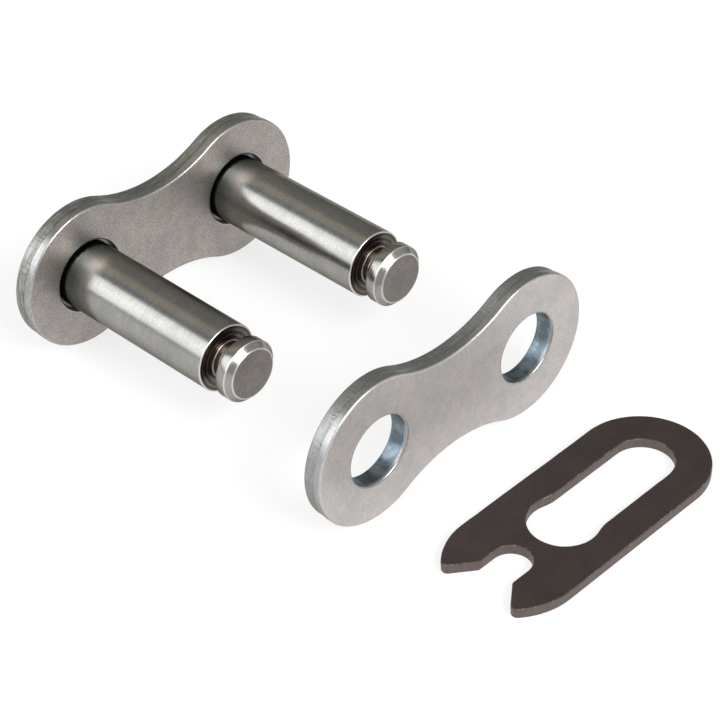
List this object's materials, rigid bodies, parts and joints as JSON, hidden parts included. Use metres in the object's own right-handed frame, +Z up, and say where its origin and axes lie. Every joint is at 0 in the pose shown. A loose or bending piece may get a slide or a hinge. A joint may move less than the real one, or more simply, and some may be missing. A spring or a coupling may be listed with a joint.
{
  "type": "chain connecting link",
  "caption": "Roller chain connecting link: a waisted link plate with riveted grooved pins, a loose cover plate and a spring clip with a keyhole slot and fork.",
  "frame": {"origin": "midway between the pin axes, on the inner face of the link plate", "axes": "+X along the pitch, -Y along the pins towards their free ends, +Z up"},
  "size_m": [0.0224, 0.0394, 0.0097],
  "materials": {
    "link_plate_steel": "tumbled blanked steel, satin, faintly mottled",
    "pin_steel": "ground steel, bright",
    "cover_plate_steel": "fine satin steel",
    "clip_steel": "blackened spring steel, matt"
  },
  "bodies": {
    "pin_link": {"link_plate": "link_plate_steel", "pin_left": "pin_steel", "pin_right": "pin_steel"},
    "cover": {"cover_plate": "cover_plate_steel"},
    "clip": {"spring_clip": "clip_steel"}
  },
  "joints": [
    {"name": "cover_slide", "type": "slide", "parent": "pin_link", "child": "cover", "axis": [0, 1, 0], "range_m": [0, 0.01267]},
    {"name": "clip_slide", "type": "slide", "parent": "pin_link", "child": "clip", "axis": [1, 0, 0], "range_m": [-0.00133, 0.00655]}
  ]
}
